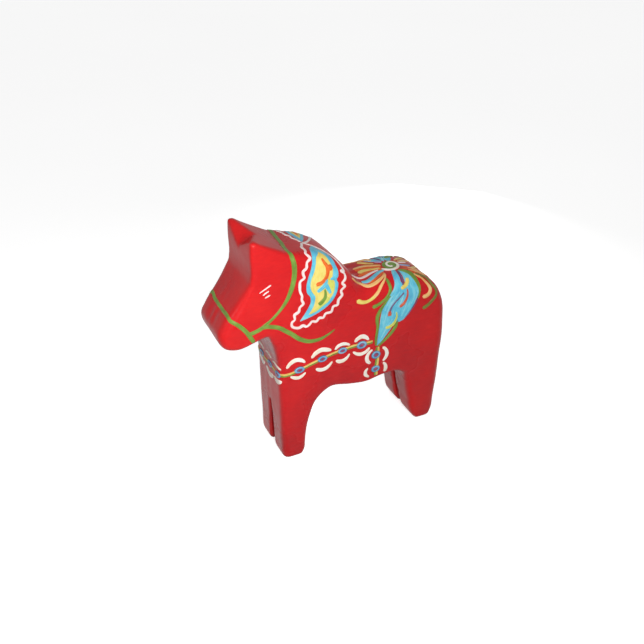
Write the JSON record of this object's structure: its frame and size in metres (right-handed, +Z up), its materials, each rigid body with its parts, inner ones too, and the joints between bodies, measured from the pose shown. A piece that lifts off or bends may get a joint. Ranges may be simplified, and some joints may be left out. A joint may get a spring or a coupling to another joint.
{
  "type": "carved wooden horse",
  "caption": "Whittled pine horse figurine that stands on slotted legs, painted red with a brushed bridle, mane, saddle flower, breast band and girth.",
  "frame": {"origin": "on the ground, under the middle of the horse's bounding box", "axes": "+X towards the tail, -X towards the nose, -Y the horse's left side, +Z up"},
  "size_m": [0.1259, 0.0332, 0.1305],
  "materials": {
    "red_lacquer": "brushed oil paint and clear varnish over whittled pine",
    "green_paint": "brushed oil paint under varnish",
    "white_paint": "brushed oil paint under varnish",
    "yellow_paint": "brushed oil paint under varnish",
    "orange_paint": "brushed oil paint under varnish",
    "blue_paint": "brushed oil paint under varnish",
    "peach_paint": "brushed oil paint under varnish",
    "crimson_paint": "brushed oil paint under varnish",
    "ochre_paint": "brushed oil paint under varnish"
  },
  "bodies": {
    "root": {"breast_band_bead_cores": "crimson_paint", "breast_band_beads": "blue_paint", "breast_band_petals": "white_paint", "breast_band_stem": "ochre_paint", "carved_body": "red_lacquer", "cheek_strap": "green_paint", "eye_ticks_left": "white_paint", "eye_ticks_right": "white_paint", "flank_stroke_green_left": "green_paint", "flank_stroke_green_right": "green_paint", "flank_stroke_yellow_left": "yellow_paint", "flank_stroke_yellow_right": "yellow_paint", "girth_bead_cores_left": "crimson_paint", "girth_bead_cores_right": "crimson_paint", "girth_beads_left": "blue_paint", "girth_beads_right": "blue_paint", "girth_petals_left": "white_paint", "girth_petals_right": "white_paint", "girth_stem_left": "ochre_paint", "girth_stem_right": "ochre_paint", "mane_border_left": "white_paint", "mane_border_right": "white_paint", "mane_leaf_fill_left": "yellow_paint", "mane_leaf_fill_right": "yellow_paint", "mane_leaf_fork_left": "blue_paint", "mane_leaf_fork_right": "blue_paint", "mane_leaf_left": "blue_paint", "mane_leaf_right": "blue_paint", "mane_leaf_stem_left": "green_paint", "mane_leaf_stem_right": "green_paint", "mane_leaf_veins_left": "orange_paint", "mane_leaf_veins_right": "orange_paint", "noseband": "green_paint", "rein_left": "green_paint", "rein_right": "green_paint", "rosette_disc": "green_paint", "rosette_spiral": "white_paint", "rump_stroke_green_left": "green_paint", "rump_stroke_green_right": "green_paint", "rump_stroke_peach_left": "peach_paint", "rump_stroke_peach_right": "peach_paint", "saddle_leaf_accents_left": "yellow_paint", "saddle_leaf_accents_right": "yellow_paint", "saddle_leaf_edges_left": "green_paint", "saddle_leaf_edges_right": "green_paint", "saddle_leaf_left": "blue_paint", "saddle_leaf_right": "blue_paint", "saddle_leaf_teardrops_left": "crimson_paint", "saddle_leaf_teardrops_right": "crimson_paint", "saddle_rays_blue": "blue_paint", "saddle_rays_orange": "orange_paint", "saddle_rays_peach": "peach_paint", "saddle_rays_white": "white_paint", "saddle_rays_yellow": "yellow_paint"}
  },
  "joints": []
}
